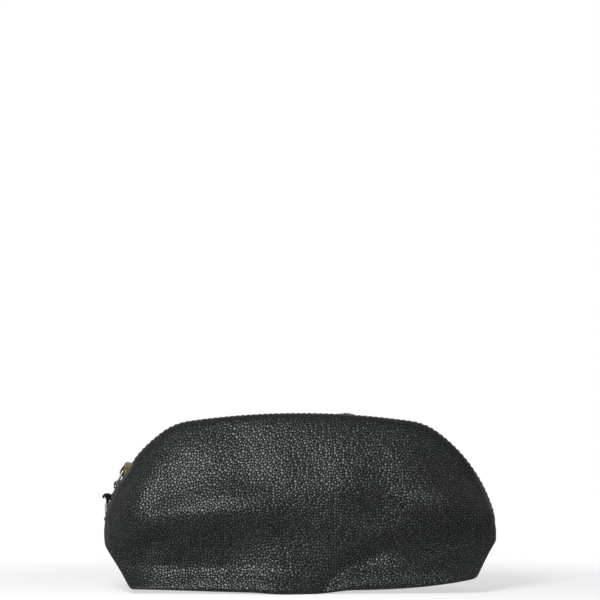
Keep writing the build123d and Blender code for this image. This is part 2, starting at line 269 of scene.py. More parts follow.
# ---- the bag's shell
CORNER_ROUNDING = 2.0
SPINE_Z = 52.0  # the rolled rim leads inwards towards a level spine at this height,
SPINE_SHARE = 0.62  # which is this share of the bag's length
LEAST_SEAM = 0.1  # the seam's rows start this far from the middle plane
LIP_DIP = 1.4
LIP_DIP_REACH = 7.0
LIP_ENDS_WITHIN = 6.5  # the seam opens into the two lips over this height below the zipper's ends
LIP_GROOVE = 0.18
PUCKER_DEPTH = 0.34
END_SAG = 2.5
HEM_RADIUS = 1.2
STRIP_WIDTH = 9.0  # the rows run on this far over the face before the triangles start
FACE_LEATHER_ROWS = 8  # this many strips of the rows have the face's leather, and the others the rim's
FOOT_FLARE = 4.0
FOOT_HEIGHT = 17.0
FACE_START = 12.0  # folds and flare come in over this distance from the rim
LIFT_HEIGHT = 42.0
MIDDLE_LIFT = 2.2
RIGHT_LIFT = 10.5
LEFT_LIFT = 1.6
LEFT_TUCK = 5.5
WAVE_HEIGHT = 0.14
LEATHER = 1.0
LINING = 0.4
LINING_INSET = 3.9
LINING_INNER = 2.2
PATTERN_ROW = 0.87  # rows of the triangular pattern, as a share of its spacing


def outline_loop(step, inset):
    """Points evenly spaced round the outline from the rim's left end, with their outward directions."""
    right = [(HALF_WIDTH, CORNER_HEIGHT), (BASE_HALF_LENGTH, 0)]
    lower = right + [(-x, z) for x, z in right[::-1]]
    loop = np.vstack([rim_points(LEANS), lower, rim_points(LEANS[:1])])
    lengths = np.concatenate([[0], np.cumsum(np.linalg.norm(np.diff(loop, axis=0), axis=1))])
    count = round(lengths[-1] / step)
    at = np.arange(count) * lengths[-1] / count
    points = np.stack([np.interp(at, lengths, places) for places in loop.T], -1)
    reach = round(4 * CORNER_ROUNDING / step)
    weights = np.exp(-(np.arange(-reach, reach + 1) * step / CORNER_ROUNDING)**2 / 2)
    points = sum(w * np.roll(points, i - reach, axis=0) for i, w in enumerate(weights)) / weights.sum()
    out = crossways(directions(points, closed=True))
    return points - inset * out, out, at


def to_outline(x, z):
    """Distance inside the outline, for arrays of x and z."""
    side = np.minimum(HALF_WIDTH, BASE_HALF_LENGTH + z * END_SLOPE) - np.abs(x)
    rim = np.full(np.shape(x), DEEPEST)
    for low, high, middle, radius in RIGHT_ARCS:
        across = np.abs(x) - middle[0]
        up = z - middle[1]
        lean = np.degrees(np.arctan2(across, up))
        here = (lean >= low - 0.01) & (lean <= high + 0.01)
        rim = np.where(here, np.minimum(rim, radius - np.hypot(across, up)), rim)
    return np.minimum(np.where(z < END_Z, side, rim), DEEPEST)


def softly_inside(x, z):
    """Distance inside the outline, averaged round each point so that it has no ridges."""
    inside = np.maximum(to_outline(x, z), 0)
    reach = np.minimum(0.5 * inside, 18)
    total = 2 * inside
    for turn in np.arange(0, 2 * math.pi, math.pi / 4):
        for share in (0.5, 1.0):
            near = to_outline(x + share * reach * math.cos(turn), z + share * reach * math.sin(turn))
            total = total + np.maximum(near, 0)
    return total / 18


def dip_at_slider(x, z, side):
    """How far the front lip lies lower beside the slider."""
    slider_x, slider_z = rim_points([SLIDER_LEAN])[0]
    return LIP_DIP * hump(np.hypot(x - slider_x, z - slider_z), 0, LIP_DIP_REACH) * (side < 0)


def edge_depth(z):
    """The leather's distance from the middle plane at the outline."""
    share = np.clip(z / END_Z, 0, 1)
    return HALF_DEPTH - (HALF_DEPTH - RIM_HALF_DEPTH) * share * (2 - share)


# Folds as (x, z, half length, half width, turn in degrees, height); a hollow has a negative height.
FRONT_FOLDS = [
    (-108, 60, 14, 26, -30, 8.0),
    (-92, 42, 44, 17, 20, 7.5),
    (-38, 50, 40, 15, 4, 5.2),
    (-98, 28, 30, 9, 30, -3.0),
    (-76, 13, 10, 8, 90, -1.0),
    (-47, 12, 9, 7, 80, -0.8),
    (-60, 4, 9, 6, 0, 0.8),
    (-12, -4, 40, 38, 0, 7.0),
    (-16, 2, 14, 9, 0, 2.0),
    (104, 56, 28, 12, -8, 8.5),
    (94, 30, 38, 12, 12, -3.4),
    (38, 18, 34, 7, 29, -2.0),
    (52, 54, 14, 14, 0, -1.6),
    (16, 4, 12, 4, 40, -1.4),
    (96, 11, 38, 8, 2, 3.8),
    (14, 66, 26, 9, 0, 0.9),
    (-74, 82, 24, 18, 45, 2.4),
]
BACK_FOLDS = [
    (70, 46, 36, 11, -22, 2.8),
    (-82, 30, 34, 11, 18, -2.2),
    (92, 24, 26, 9, -30, -2.0),
    (-60, 56, 34, 11, 10, 1.8),
    (10, 20, 34, 8, 12, -1.3),
    (12, 68, 30, 9, -6, 0.9),
]


def depth(x, z, folds):
    """Distance of the leather's face from the middle plane, with its folds and small uneven waves."""
    inside = softly_inside(x, z)
    edge = edge_depth(z)
    full = 1 - math.exp(-DEEPEST / ROOF_LENGTH)
    swell = edge + (HALF_DEPTH - edge) * (1 - np.exp(-inside / ROOF_LENGTH)) / full
    near = 1 - np.exp(-np.maximum(to_outline(x, np.maximum(z, END_Z)), 0) / FACE_START)
    swell = swell - FOOT_FLARE * smooth(0, FOOT_HEIGHT, z) * near
    for middle_x, middle_z, length, width, turn, height in folds:
        c, s = math.cos(math.radians(turn)), math.sin(math.radians(turn))
        u = ((x - middle_x) * c + (z - middle_z) * s) / length
        v = ((z - middle_z) * c - (x - middle_x) * s) / width
        swell = swell + height * np.exp(-u * u - v * v) * near
    for i in range(7):
        turn = i * 2.4 + len(folds)  # so that the two faces have different waves
        wave = (x * math.cos(turn) + z * math.sin(turn)) / (4.2 + 1.1 * i)
        swell = swell + WAVE_HEIGHT * np.sin(wave + 1.7 * i) * near
    return swell


def settle(points):
    """Lifts the lower corners of the whole soft shell off the ground and tucks the left one in."""
    x, y, z = points[:, 0], points[:, 1], points[:, 2]
    low = np.clip(1 - z / LIFT_HEIGHT, 0, 1)
    right = MIDDLE_LIFT * smooth(8, 34, x) + RIGHT_LIFT * np.clip((x - 18) / 104, 0, 1)**2.8
    left = 0.5 * MIDDLE_LIFT * smooth(-8, -34, x) + LEFT_LIFT * smooth(-30, -112, x)
    lift = (right + left) * (0.8 - 0.2 * y / HALF_DEPTH) * low
    tuck = LEFT_TUCK * smooth(-92, -118, x) * low**2
    return np.stack([x + tuck, y, z + lift], -1)


def towards_spine(loop):
    """Unit directions from the outline's points to the spine inside it."""
    spine = np.stack([SPINE_SHARE * loop[:, 0], np.full(len(loop), SPINE_Z)], -1)
    ray = spine - loop
    return ray / np.linalg.norm(ray, axis=1)[:, None]


def rim_section(hem):
    """The section over the rim: y and outward distance along the zipper, and the same at the closed seam.

    The seam has fewer rows of its own. The rest lie at the returned shares of the way across the wall."""
    if not hem:
        zip_y = np.array([8.4, 8.8, 9.2, 9.6, 10.0])
        return zip_y, np.zeros(5), np.array([LEAST_SEAM]), np.array([0.0]), np.linspace(0, 1, 5)[1:]
    turns = np.radians(np.linspace(-90, -270, 8))
    edge_y = FOLD_HALF_GAP + HEM_RADIUS + HEM_RADIUS * np.cos(turns)
    edge_out = -HEM_RADIUS + HEM_RADIUS * np.sin(turns)
    zip_y = np.concatenate([[9.6, 8.2], edge_y, [7.3, 7.8, 8.2, 8.6, 9.0]])
    zip_out = np.concatenate([[-2 * HEM_RADIUS] * 2, edge_out, [0] * 5])
    seam_y = np.array([LEAST_SEAM, LEAST_SEAM, LEAST_SEAM, 0.12, 0.2, 0.35, 0.7, 1.2])
    seam_out = np.array([-3.2, -2.6, -2.0, -1.4, -0.9, -0.55, -0.25, -0.08])
    share = np.linspace(0, 1, len(zip_y) - len(seam_y) + 1)[1:]
    return zip_y, zip_out, seam_y, seam_out, share


def wall_rows(loop, edge, roll, zip_share, hem):
    """y and outward distance of the rows over the rim: a lip along the zipper, a sagging wall elsewhere."""
    zip_y, zip_out, seam_y, seam_out, share = rim_section(hem)
    widest = np.maximum(edge - roll, 1.4)
    rows = []
    for i in range(len(zip_y)):
        if i < len(seam_y):
            wall_y, wall_out = seam_y[i], seam_out[i]
        else:
            across = share[i - len(seam_y)]
            wall_y = seam_y[-1] + (widest - seam_y[-1]) * across
            sag = END_SAG * np.sin(math.pi * np.clip(loop[:, 1] / ZIP_END_Z, 0, 1))
            wall_out = -sag * (1 - (wall_y / edge)**2) * (across < 1)
        lip_y = np.minimum(zip_y[i], edge - roll * 0.9)
        rows.append((zip_share * lip_y + (1 - zip_share) * wall_y,
                     zip_share * zip_out[i] + (1 - zip_share) * wall_out))
    return rows


def rim_rows(loop, at, ray, zip_share, side, folds, inner, hem):
    """The rows from the rim's inner edge over its roll to the strip on the face.

    Each is a distance from the middle plane, one outward, one along the ray to the spine, and how
    near the rim the row is."""
    edge = depth(loop[:, 0], loop[:, 1], folds) - inner
    roll = 3.0 + 2.0 * hump(loop[:, 1], 30, 16) - 0.6 * hump(loop[:, 1], 0, 8)
    pucker = 0.5 + 0.5 * np.cos(2 * math.pi * at / STITCH_PITCH)
    dip = dip_at_slider(loop[:, 0], loop[:, 1], side) * zip_share
    rows = []
    for y, outward in wall_rows(loop, edge, roll, zip_share, hem):
        near = zip_share * smooth(5.5, 7.5, y) * (outward > -1)
        groove = PUCKER_DEPTH * pucker * hump(y, STITCH_FROM_MIDDLE, 2.0) + LIP_GROOVE
        rows.append((y, outward - near * groove - dip, np.zeros(len(loop)), near))
    for angle in np.radians(np.linspace(0, 90, 9))[1 if hem else 0:]:
        inward = roll * (1 - math.cos(angle))
        where = loop + inward[:, None] * ray
        y = depth(where[:, 0], where[:, 1], folds) - inner - roll * (1 - math.sin(angle))
        outward = -(LIP_GROOVE * zip_share + dip) * math.cos(angle)
        rows.append((y, outward, inward, zip_share * (1 - 0.5 * math.sin(angle))))
    for share in (0.25, 0.5, 0.75, 1.0):
        inward = roll + (STRIP_WIDTH - roll) * share
        where = loop + inward[:, None] * ray
        y = depth(where[:, 0], where[:, 1], folds) - inner
        rows.append((y, np.zeros(len(loop)), inward, zip_share * 0.5 * (1 - share)))
    return rows


def slack_along(at):
    """The lips' uneven sideways waves along the outline."""
    return 0.35 * np.sin(at / 6.1) + 0.25 * np.sin(at / 3.7 + 1) + 0.3 * np.sin(at / 11.3 + 2)


def slack_across(count):
    """How much each row from the rim inwards takes part in those waves."""
    return 0.6 * np.exp(-np.abs(np.arange(count) - 14) / 6.0)


def laid_flat(rows, out):
    """The rows as they lay on the leather before it was turned over the rim, in x and z."""
    beyond = [np.zeros(len(out))]
    for row, next_row in zip(rows[::-1], rows[-2::-1]):
        beyond.append(beyond[-1] + np.linalg.norm(next_row - row, axis=1))
    return [rows[-1][:, [0, 2]] + far[:, None] * out for far in beyond[::-1]]


def shell(side, folds, step, spacing, inset, inner, hem):
    """One half of the bag: its rim, ends and half of its base as rows along the outline, and its face.

    side is -1 for the front. inset and inner move the outline and the face inwards, and hem gives
    the leather its turned edge along the zipper. Returns points, faces, how near the rim each point
    is, where it lay on the cut leather in metres, and which of the rows' faces have the rim's leather."""
    loop, out, at = outline_loop(step, inset)
    count = len(loop)
    zip_share = smooth(ZIP_END_Z - LIP_ENDS_WITHIN, ZIP_END_Z, loop[:, 1])
    ray = towards_spine(loop)
    rows, rim_share = [], []
    for y, outward, inward, near in rim_rows(loop, at, ray, zip_share, side, folds, inner, hem):
        place = loop + outward[:, None] * out + inward[:, None] * ray
        rows.append(np.stack([place[:, 0], side * y, place[:, 1]], -1))
        rim_share.append(near)
    flat = laid_flat(rows, out)
    for row, share in zip(rows, slack_across(len(rows))):
        row[:, 1] += side * (slack_along(at) * zip_share * share)
    faces = ring_faces(len(rows), count)

    face_points, face_faces = fill(rows[-1][:, [0, 2]], spacing)
    extra = face_points[count:]
    extra_y = side * (depth(extra[:, 0], extra[:, 1], folds) - inner)
    points = np.vstack(rows + [np.stack([extra[:, 0], extra_y, extra[:, 1]], -1)])
    first = (len(rows) - 1) * count
    faces += [tuple(first + i for i in face) for face in face_faces]
    if side > 0:
        faces = [face[::-1] for face in faces]
    near = np.concatenate(rim_share + [np.zeros(len(extra))])
    rim_leather_here = np.tile(loop[:, 1] > CORNER_ROUNDING, len(rows) - FACE_LEATHER_ROWS)
    return settle(points), faces, near, np.vstack(flat + [extra]) * MM, rim_leather_here


def fill(loop, spacing):
    """Points in a triangular pattern inside a closed loop, and triangles that join them to it."""
    count = len(loop)
    low, high = loop.min(0), loop.max(0)
    inside = []
    for row in range(int((high[1] - low[1]) / (spacing * PATTERN_ROW))):
        z = low[1] + (row + 0.5) * spacing * PATTERN_ROW
        a, b = loop, np.roll(loop, -1, axis=0)
        cross = (a[:, 1] > z) != (b[:, 1] > z)
        shift = (z - a[cross, 1]) * (b[cross, 0] - a[cross, 0]) / (b[cross, 1] - a[cross, 1])
        crossings = np.sort(a[cross, 0] + shift)
        for left, right in zip(crossings[::2], crossings[1::2]):
            first = math.ceil((left + 0.6 * spacing) / spacing - 0.5 * (row % 2))
            last = math.floor((right - 0.6 * spacing) / spacing - 0.5 * (row % 2))
            inside += [((i + 0.5 * (row % 2)) * spacing, z) for i in range(first, last + 1)]
    inside = np.array(inside)
    gap = np.array([np.min(np.sum((loop - p)**2, axis=1)) for p in inside])
    inside = inside[gap > (0.55 * spacing)**2]
    points = np.vstack([loop, inside])
    edges = [(i, (i + 1) % count) for i in range(count)]
    made = delaunay_2d_cdt([Vector(p) for p in points], edges, [], 1, 1e-5)
    triangles, origins = made[2], made[3]
    return points, [tuple(origins[i][0] for i in triangle) for triangle in triangles]


# ---- things that follow the rim
def rim_frame(lean):
    """Place and directions on the tape at a lean: point, along the rim and outward, each as x, y, z."""
    x, z = rim_points([lean], -TAPE_INSET)[0]
    angle = math.radians(lean)
    along = np.array([math.cos(angle), 0, -math.sin(angle)])
    out = np.array([math.sin(angle), 0, math.cos(angle)])
    return np.array([x, 0, z]), along, out


def tape_rise(run):
    """How much higher the slack tape stands: a swell right of the middle and small waves all along."""
    x = rim_points([lean_at(run)])[0][0]
    return TAPE_SWELL * hump(x, TAPE_SWELL_X, 9) + TAPE_WAVE * math.sin(run / 9.0)


def placed(points, run, side):
    """Points given along the rim, away from the middle plane and outward, set on the tape."""
    start, along, out = rim_frame(lean_at(run))
    points = np.asarray(points, float)
    rise = tape_rise(run) * (1 - smooth(3.5, 5.5, points[:, 1:2]))
    return start + points[:, :1] * along + points[:, 1:2] * (0, side, 0) + (points[:, 2:] + rise) * out


def parted(run):
    """How far each row stands back from its meshed place."""
    return ROW_SHIFT * smooth(SLIDER_RUN - 3, SLIDER_RUN + 3, run)


def tape_piece(name, side, material):
    """One woven tape with the cord along its toothed edge."""
    half = TAPE_HALF_THICKNESS
    rows = []
    for run in np.arange(run_at(-END_LEAN), run_at(END_LEAN), 1.2):
        inner = TAPE_INNER + float(parted(run))
        wave = 0.12 * math.sin(run / 5.0)
        top = [(TAPE_OUTER, half, 0), (8.0, half, wave), (5.5, half, wave), (inner + 1.4, half, 0),
               (inner + 0.9, half + 0.28, 0), (inner + 0.35, half + 0.34, 0), (inner, half, 0)]
        section = [(0, y, lift + high) for y, high, lift in top] + [(0, inner - 0.06, 0)]
        section += [(0, y, lift - high) for y, high, lift in top[::-1]]
        rows.append(placed(section, run, side))
    return closed_piece(name, np.vstack(rows), tube_faces(len(rows), len(rows[0])), material, "zipper_tape")


def block(half_sizes, bevel, middle=(0, 0, 0), taper=1.0):
    """Points and faces of a block with soft edges round a middle, narrower at its +Y end by the taper."""
    work = bmesh.new()
    bmesh.ops.create_cube(work, size=2)
    for vertex in work.verts:
        x, y, z = (share * half for share, half in zip(vertex.co, half_sizes))
        vertex.co = (x * (taper if y > 0 else 1.0), y, z)
    bmesh.ops.bevel(work, geom=list(work.edges), offset=bevel, segments=2, affect="EDGES", profile=0.5)
    work.verts.ensure_lookup_table()
    points = np.array([v.co[:] for v in work.verts])
    faces = [tuple(v.index for v in f.verts) for f in work.faces]
    work.free()
    return points + middle, faces


def tooth_shape():
    """A moulded tooth: legs clamped over the tape's cord, a waist, and a rounded head with its nub."""
    legs = block((0.6, 0.95, 1.15), 0.22, (0, 1.45, 0))
    waist = block((0.42, 0.6, 0.75), 0.14, (0, 0.4, 0))
    head, head_faces = block((0.6, 0.55, 0.95), 0.26, taper=0.8)
    return joined([legs, waist, (head * (1, -1, 1) + (0, -0.35, 0), head_faces)])


def teeth_piece(name, side, first, material):
    """A whole row of teeth, meshed below the slider and parted above it."""
    points, faces = tooth_shape()
    parts = []
    for i in range(int((LAST_RUN - first) / TOOTH_PITCH) + 1):
        run = first + i * TOOTH_PITCH
        tilted = points.copy()
        tilted[:, 0] += points[:, 1] * TOOTH_TILT * math.sin(7.3 * i)
        parts.append((placed(tilted + (0, float(parted(run)), 0), run, side), faces))
    return closed_piece(name, *joined(parts), material, "antique_brass")


def tube(path, radius, sides=10, closed=False, squeeze=1.0):
    """Points and faces of a round bar along a path of x, y, z points.

    radius may differ along it, and squeeze makes it wider across than it is thick."""
    path = np.asarray(path, float)
    count = len(path)
    radius = np.broadcast_to(radius, (count,))
    along = directions(path, closed)
    guide = np.array([0.0, 1.0, 0.0]) if abs(along[:, 1]).mean() < 0.6 else np.array([0.0, 0.0, 1.0])
    side = guide - (along @ guide)[:, None] * along
    side /= np.linalg.norm(side, axis=1)[:, None]
    for i in range(1, count):
        turned = side[i - 1] - (along[i] @ side[i - 1]) * along[i]
        side[i] = turned / np.linalg.norm(turned)
    up = np.cross(along, side)
    angle = np.arange(sides) * 2 * math.pi / sides
    ring = radius[:, None, None] * (np.cos(angle)[None, :, None] * side[:, None] * squeeze
                                    + np.sin(angle)[None, :, None] * up[:, None])
    points = (path[:, None] + ring).reshape(-1, 3)
    return points, ring_faces(count, sides, closed=True) if closed else tube_faces(count, sides)


def stitch_piece(name, side, material):
    """The topstitching beside the zipper: each stitch dives into the leather at both ends."""
    parts = []
    start = run_at(-END_LEAN)
    reach = np.linspace(-1, 1, 9)
    for i in range(int((LAST_RUN - start) / STITCH_PITCH)):
        run = start + (i + 0.7) * STITCH_PITCH
        lift = TAPE_INSET - float(dip_at_slider(*rim_points([lean_at(run)])[0], side))
        slant = 0.18 * math.sin(3.1 * i)
        path = np.stack([reach * STITCH_LENGTH / 2, STITCH_FROM_MIDDLE + reach * slant,
                         lift - 0.12 - 0.55 * np.abs(reach)**4], -1)
        parts.append(tube(placed(path, run, side), THREAD_RADIUS - 0.05 * np.abs(reach)**3, 8))
    return closed_piece(name, *joined(parts), material, "thread")


# ---- slider and pull
PLATE_LOW = 1.6
PLATE_HIGH = 2.6
PLATE_HALF_WIDTH = 5.0
NOSE_WIDER = 0.1
SOFT_EDGE = 0.35
FLANGE_RADIUS = 0.45
FLANGE_INSET = 0.42
FLANGE_HEIGHT = 1.3
FLANGE_END = 1.2
CROWN_HIGH = 6.2
CROWN_HALF_LENGTH = 4.5
CROWN_HALF_WIDTH = 1.65
CROWN_THICKNESS = 1.15
LOCK_MIDDLE = PLATE_HIGH + 0.25
LINK_WIRE = 0.65
LINK_HALF_WIDTH = 2.85
LINK_CORNER = 1.0
CLIP_MIDDLE_RADIUS = 1.65
CLIP_LENGTH = 3.3
CLIP_HALF_GAP = 0.8
CLIP_HALF_WIDTH = 1.75
CLIP_THICKNESS = 0.7
STRAP_TURN = math.atan2(-1.35, -0.4)  # from the strap's pivot to where it leaves the clip
STRAP_HALF_WIDTH = 1.65
STRAP_THICKNESS = 0.95
EYE_RADIUS = 1.02
KNOT = (-5.3, -8.7)
KNOT_HALF_WIDTH = 2.1
TIP_LOW, TIP_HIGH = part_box("pull_tip")
TIP_TOP_Z = TIP_HIGH.z / MM
TIP_LOW_Z = TIP_LOW.z / MM
TIP_X = (TIP_LOW.x + TIP_HIGH.x) / 2 / MM
TIP_HALF_DEPTH = 2.45
TIP_HALF_THICKNESS = 1.05


def on_slider(points):
    """Points in the slider's own directions, set on the parked slider."""
    start, along, out = rim_frame(SLIDER_LEAN)
    return start + points[:, :1] * along + points[:, 1:2] * (0, 1, 0) + points[:, 2:] * out


def slider_piece(name, parts, material):
    """A closed piece from parts in the slider's own directions."""
    points, faces = joined(parts)
    return closed_piece(name, on_slider(points), faces, material, "antique_brass")


def plate_outline():
    """Half widths of the slider's plate along it: rounded ends, and a nose a little wider than the tail."""
    x = SLIDER_LENGTH / 2 * np.cos(np.linspace(0, math.pi, 25))
    width = PLATE_HALF_WIDTH + NOSE_WIDER * smooth(-1.5, 4.0, x)
    return x, width * (1 - np.abs(2 * x / SLIDER_LENGTH)**14)**0.35


def stacked(x, y, levels):
    """Points and faces of a solid with one outline, scaled by its own share at each level."""
    rings = [np.stack([share * x, share * y, np.full(len(x), z)], -1) for z, share in levels]
    return np.vstack(rings), tube_faces(len(rings), len(x))


def slab_of(x, half, low, high, bevel):
    """A plate with these half widths and softened edges, from low to high."""
    levels = [(low, 1 - bevel / 5), (low + bevel, 1.0), (high - bevel, 1.0),
              (high - bevel * 0.3, 1 - bevel / 9), (high, 1 - bevel / 4)]
    return stacked(np.concatenate([x, x[::-1][1:-1]]), np.concatenate([half, -half[::-1][1:-1]]), levels)


def slider_body_piece(material):
    """Two plates with flanges, joined by the divider between the lanes."""
    x, half = plate_outline()
    keep = np.abs(x) < SLIDER_LENGTH / 2 - FLANGE_END
    parts = []
    for side in (1, -1):
        plate, plate_faces = slab_of(x, half, PLATE_LOW, PLATE_HIGH, SOFT_EDGE)
        parts.append((plate * (1, 1, side), plate_faces))
        for edge in (1, -1):
            level = np.full(keep.sum(), side * FLANGE_HEIGHT)
            path = np.stack([x[keep], edge * (half[keep] - FLANGE_INSET), level], -1)
            parts.append(tube(path, FLANGE_RADIUS, 8))
    parts.append(block((1.6, 0.5, 1.9), 0.2, (4.0, 0, 0)))
    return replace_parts(slider_piece("slider_body_cast", parts, material), "slider_body")


def slider_crown_piece(material):
    """The domed bridge that holds the pull's link, solid towards the slider's nose."""
    turns = np.radians(np.linspace(0, 180, 31))
    s = np.sin(turns)
    x = -CROWN_HALF_LENGTH * squarer(np.cos(turns), 0.5)
    z = PLATE_HIGH - 0.3 + (CROWN_HIGH - 0.55 - PLATE_HIGH + 0.3) * s**0.5
    bridge = ribbon_along(np.stack([x, z], -1), CROWN_HALF_WIDTH - 0.25 * s, CROWN_THICKNESS)
    nose = block((2.1, 1.25, 1.4), 0.3, (2.1, 0, 3.9))
    web = block((2.2, 0.8, 1.3), 0.3, (-1.9, 0, 3.8))
    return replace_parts(slider_piece("slider_crown_cast", [bridge, nose, web], material), "slider_crown")


def slider_lock_piece(material):
    """The spring leaf under the crown with its prong."""
    reach = np.linspace(-1, 1, 9)
    arch = np.stack([0.3 + 2.3 * reach, 0 * reach, LOCK_MIDDLE + 0.25 * (1 - reach**2)], -1)
    leaf = tube(arch, 0.2, 8, squeeze=3.6)
    prong = block((0.28, 0.45, 0.75), 0.12, (0.8, 0, 2.05))
    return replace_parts(slider_piece("slider_lock_spring", [leaf, prong], material), "slider_lock")


def link_piece(material):
    """The rectangular wire link between the crown and the strap."""
    start, end = (np.insert(pivot, 1, 0.0) for pivot in (LINK_PIVOT, STRAP_PIVOT))
    along = (end - start) / np.linalg.norm(end - start)
    middle = (start + end) / 2
    half = np.linalg.norm(end - start) / 2
    path = []
    for turn, (su, sv) in enumerate([(1, 1), (-1, 1), (-1, -1), (1, -1)]):
        for angle in np.radians(np.linspace(0, 90, 6) + 90 * turn):
            u = su * (half - LINK_CORNER) + LINK_CORNER * math.cos(angle)
            v = sv * (LINK_HALF_WIDTH - LINK_CORNER) + LINK_CORNER * math.sin(angle)
            path.append(middle + u * along + np.array([0, v, 0]))
    piece = closed_piece("pull_link_wire", *tube(path, LINK_WIRE, 12, closed=True), material, "pull_metal")
    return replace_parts(piece, "pull_link")


def ribbon_along(path, half_width, thickness):
    """Points and faces of a flat strip with rounded edges along a path of x and z points.

    half_width may differ along it."""
    path = np.asarray(path, float)
    half_width = np.broadcast_to(half_width, (len(path),))
    normal = crossways(directions(path))
    turns = np.linspace(0, 2 * math.pi, 16, endpoint=False)
    across = squarer(np.cos(turns), 0.35)
    through = thickness / 2 * squarer(np.sin(turns), 0.8)
    rows = []
    for i in range(len(path)):
        x = path[i, 0] + through * normal[i, 0]
        z = path[i, 1] + through * normal[i, 1]
        rows.append(np.stack([x, half_width[i] * across, z], -1))
    return np.vstack(rows), tube_faces(len(path), len(turns))


def curve_through(points, count):
    """A smooth path through a few x and z points, evenly parted by their order."""
    points = np.asarray(points, float)
    padded = np.vstack([2 * points[0] - points[1], points, 2 * points[-1] - points[-2]])
    path = []
    for at in np.linspace(0, len(points) - 1, count):
        i = min(int(at), len(points) - 2)
        t = at - i
        a, b, c, d = padded[i:i + 4]
        square, cube = (2 * a - 5 * b + 4 * c - d) * t**2, (3 * b - a - 3 * c + d) * t**3
        path.append(0.5 * (2 * b + (c - a) * t + square + cube))
    return np.array(path)


def from_strap_pivot(*points):
    """Points given from the strap's pivot, as places in x and z."""
    return STRAP_PIVOT + np.array(points, float)


def strap_path():
    """The strap's line: out of the clip, down behind the lip, through the knot and into the tip."""
    start = from_strap_pivot((-0.4, -1.35), (-1.05, -3.6), (-2.3, -6.0), (-4.2, -7.9), (-6.0, -9.3))
    end = [(TIP_X + 0.9, TIP_TOP_Z - 0.6), (TIP_X + 0.8, TIP_LOW_Z + 4)]
    return curve_through(np.vstack([start, end]), 40)


def knot_parts():
    """The roll of the knot, the curl of the strap's short end, and the fold that goes down into the tip."""
    turns = np.linspace(0.6, 5.0 * math.pi, 60)
    roll = (0.3 + 0.8 * turns / (2 * math.pi))[:, None] * circle(turns) * (1, 0.85)
    wrap = ribbon_along(from_strap_pivot(KNOT) + roll, KNOT_HALF_WIDTH, 0.85)
    short_end = from_strap_pivot((-3.4, -7.6), (-5.2, -6.6), (-7.2, -6.7), (-8.5, -7.7), (-8.7, -9.3))
    curl = ribbon_along(curve_through(short_end, 22), np.linspace(1.7, 1.1, 22), 1.1)
    into_tip = [(TIP_X + 1.7, TIP_TOP_Z - 0.8), (TIP_X + 1.5, TIP_LOW_Z + 6)]
    downward = np.vstack([from_strap_pivot((-5.0, -9.6)), into_tip])
    return wrap, curl, ribbon_along(curve_through(downward, 16), 1.5, 0.9)


def strap_piece(material):
    """The leather strap with its eye in the clip and its knot."""
    strap = ribbon_along(strap_path(), STRAP_HALF_WIDTH, STRAP_THICKNESS)
    wrap, curl, fold = knot_parts()
    eye = ribbon_along(STRAP_PIVOT + EYE_RADIUS * circle(np.radians(np.linspace(0, 330, 20))), 1.5, 0.6)
    parts = joined([strap, wrap, curl, eye, fold])
    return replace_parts(closed_piece("pull_strap_leather", *parts, material, "strap_leather"), "pull_strap")


def clip_piece(material):
    """The folded metal clip: a drop round the link's bar, closed on the strap's end."""
    reach = math.hypot(CLIP_LENGTH, CLIP_HALF_GAP)
    touch = math.acos(CLIP_MIDDLE_RADIUS / reach) + math.atan2(CLIP_HALF_GAP, CLIP_LENGTH)
    ring = CLIP_MIDDLE_RADIUS * circle(np.linspace(touch, 2 * math.pi - touch, 30))
    drop = np.vstack([(CLIP_LENGTH, CLIP_HALF_GAP), ring, (CLIP_LENGTH, -CLIP_HALF_GAP)])
    c, s = math.cos(STRAP_TURN), math.sin(STRAP_TURN)
    folded = ribbon_along(STRAP_PIVOT + drop @ np.array([(c, s), (-s, c)]), CLIP_HALF_WIDTH, CLIP_THICKNESS)
    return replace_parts(closed_piece("pull_clip_folded", *folded, material, "pull_metal"), "pull_clip")


def tip_piece(material):
    """The folded metal tip clamped on the strap's end."""
    height = TIP_TOP_Z - TIP_LOW_Z - 1.6
    levels = [(0.0, 0.55), (0.25, 0.8), (0.8, 0.96), (0.5 * height, 1.0), (height - 0.9, 1.0),
              (height - 0.5, 1.14), (height - 0.15, 1.14), (height, 0.9)]
    turns = np.linspace(0, 2 * math.pi, 24, endpoint=False)
    x, y = TIP_HALF_THICKNESS * squarer(np.cos(turns), 0.6), TIP_HALF_DEPTH * squarer(np.sin(turns), 0.4)
    points, faces = stacked(x, y, levels)
    points = points + (TIP_X + 0.8, 0, TIP_LOW_Z)
    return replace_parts(closed_piece("pull_tip_clamp", points, faces, material, "pull_metal"), "pull_tip")


def stop_piece(name, run, sides, node, material):
    """A crimped stop over the tape's cord, or over both cords at the bottom."""
    centre = TAPE_INNER + float(parted(run)) + (0.1 if len(sides) > 1 else 0.5)
    parts = []
    for side in sides:
        ridges = [block((0.18, 1.2, 0.2), 0.08, (shift, centre, 1.02)) for shift in (-0.8, 0.0, 0.8)]
        for points, faces in [block((STOP_LENGTH / 2, 1.3, 1.0), 0.3, (0, centre, 0))] + ridges:
            parts.append((placed(points, run, side), faces))
    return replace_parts(closed_piece(name, *joined(parts), material, "antique_brass"), node)


# ---- materials
def add_node(tree, kind, inputs=None, **settings):
    """A node with its settings, whose inputs are numbers or other nodes' outputs."""
    node = tree.nodes.new(kind)
    for key, value in settings.items():
        setattr(node, key, value)
    for key, value in (inputs or {}).items():
        if isinstance(value, bpy.types.NodeSocket):
            tree.links.new(value, node.inputs[key])
        else:
            node.inputs[key].default_value = value
    return node


